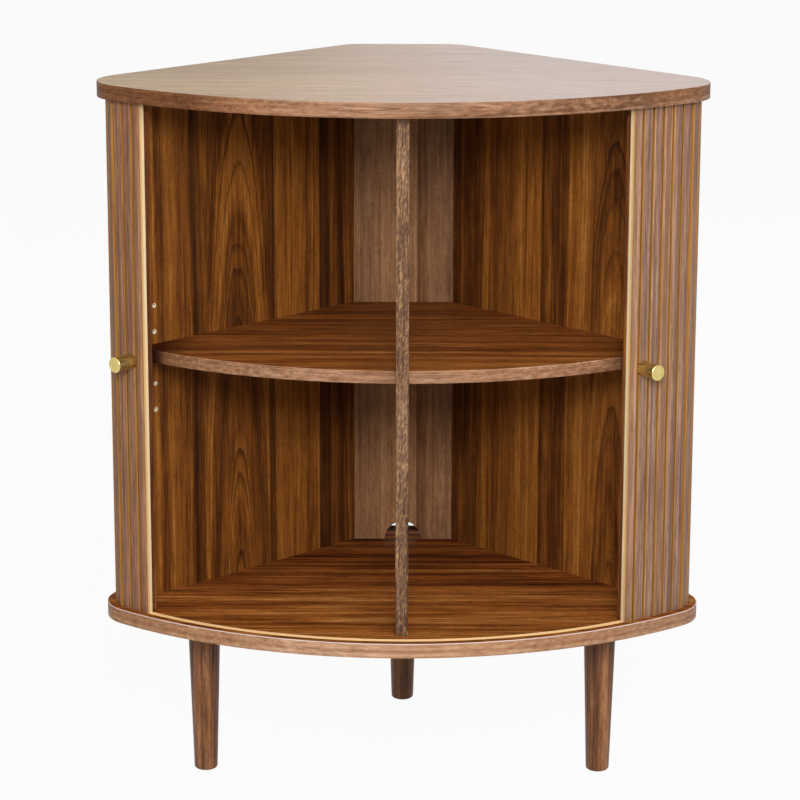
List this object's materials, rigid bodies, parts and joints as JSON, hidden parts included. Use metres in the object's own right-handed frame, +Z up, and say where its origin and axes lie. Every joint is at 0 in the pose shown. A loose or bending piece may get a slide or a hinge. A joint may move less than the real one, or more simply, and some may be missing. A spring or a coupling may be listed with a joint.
{
  "type": "corner bar cabinet",
  "caption": "Corner bar cabinet with a curved front, sliding slatted tambour doors, a shelf, a centre post and turned legs.",
  "frame": {"origin": "middle of the plan's bounding box, on the floor under the glides", "axes": "+Z up, -Y towards the curved front, +X to the right as seen from the front"},
  "size_m": [0.76, 0.5119, 0.9],
  "materials": {
    "panel_walnut": "satin lacquered veneer",
    "edge_walnut": "satin lacquered edge band",
    "slat_walnut": "satin lacquered",
    "leg_walnut": "satin lacquered solid wood",
    "door_cloth": "woven backing cloth",
    "knob_brass": "brushed",
    "steel": "zinc plated",
    "dowel_beech": "plain",
    "glide_plastic": "matte"
  },
  "bodies": {
    "carcass": {"top_board": "panel_walnut", "top_edge_band": "edge_walnut", "base_board": "panel_walnut", "base_edge_band": "edge_walnut", "left_wall": "panel_walnut", "right_wall": "panel_walnut", "back_panel": "panel_walnut", "centre_post": "edge_walnut", "shelf": "panel_walnut", "shelf_edge_band": "edge_walnut", "shelf_pins": "steel", "left_front_leg": "leg_walnut", "right_front_leg": "leg_walnut", "rear_leg": "leg_walnut", "leg_bolts": "steel", "leg_inserts": "steel", "leg_glides": "glide_plastic", "base_screws": "steel", "top_dowels": "dowel_beech", "back_panel_screws": "steel", "left_corner_slats": "slat_walnut", "left_stored_slats": "slat_walnut", "left_stored_cloth": "door_cloth", "right_corner_slats": "slat_walnut", "right_stored_slats": "slat_walnut", "right_stored_cloth": "door_cloth"},
    "left_door": {"left_lead_slat": "slat_walnut", "left_knob_slat": "slat_walnut", "left_lead_cloth": "door_cloth", "left_batten": "leg_walnut", "left_batten_screws": "steel", "left_knob": "knob_brass", "left_knob_screw": "steel"},
    "right_door": {"right_lead_slat": "slat_walnut", "right_knob_slat": "slat_walnut", "right_lead_cloth": "door_cloth", "right_batten": "leg_walnut", "right_batten_screws": "steel", "right_knob": "knob_brass", "right_knob_screw": "steel", "right_front_slats": "slat_walnut"}
  },
  "joints": [
    {"name": "left_door_run", "type": "hinge", "parent": "carcass", "child": "left_door", "pos_m": [0, 0.29599, 0.5535], "axis": [0, 0, 1], "range_deg": [0, 36.57]},
    {"name": "right_door_run", "type": "hinge", "parent": "carcass", "child": "right_door", "pos_m": [0, 0.29599, 0.5535], "axis": [0, 0, -1], "range_deg": [0, 31.23]}
  ]
}
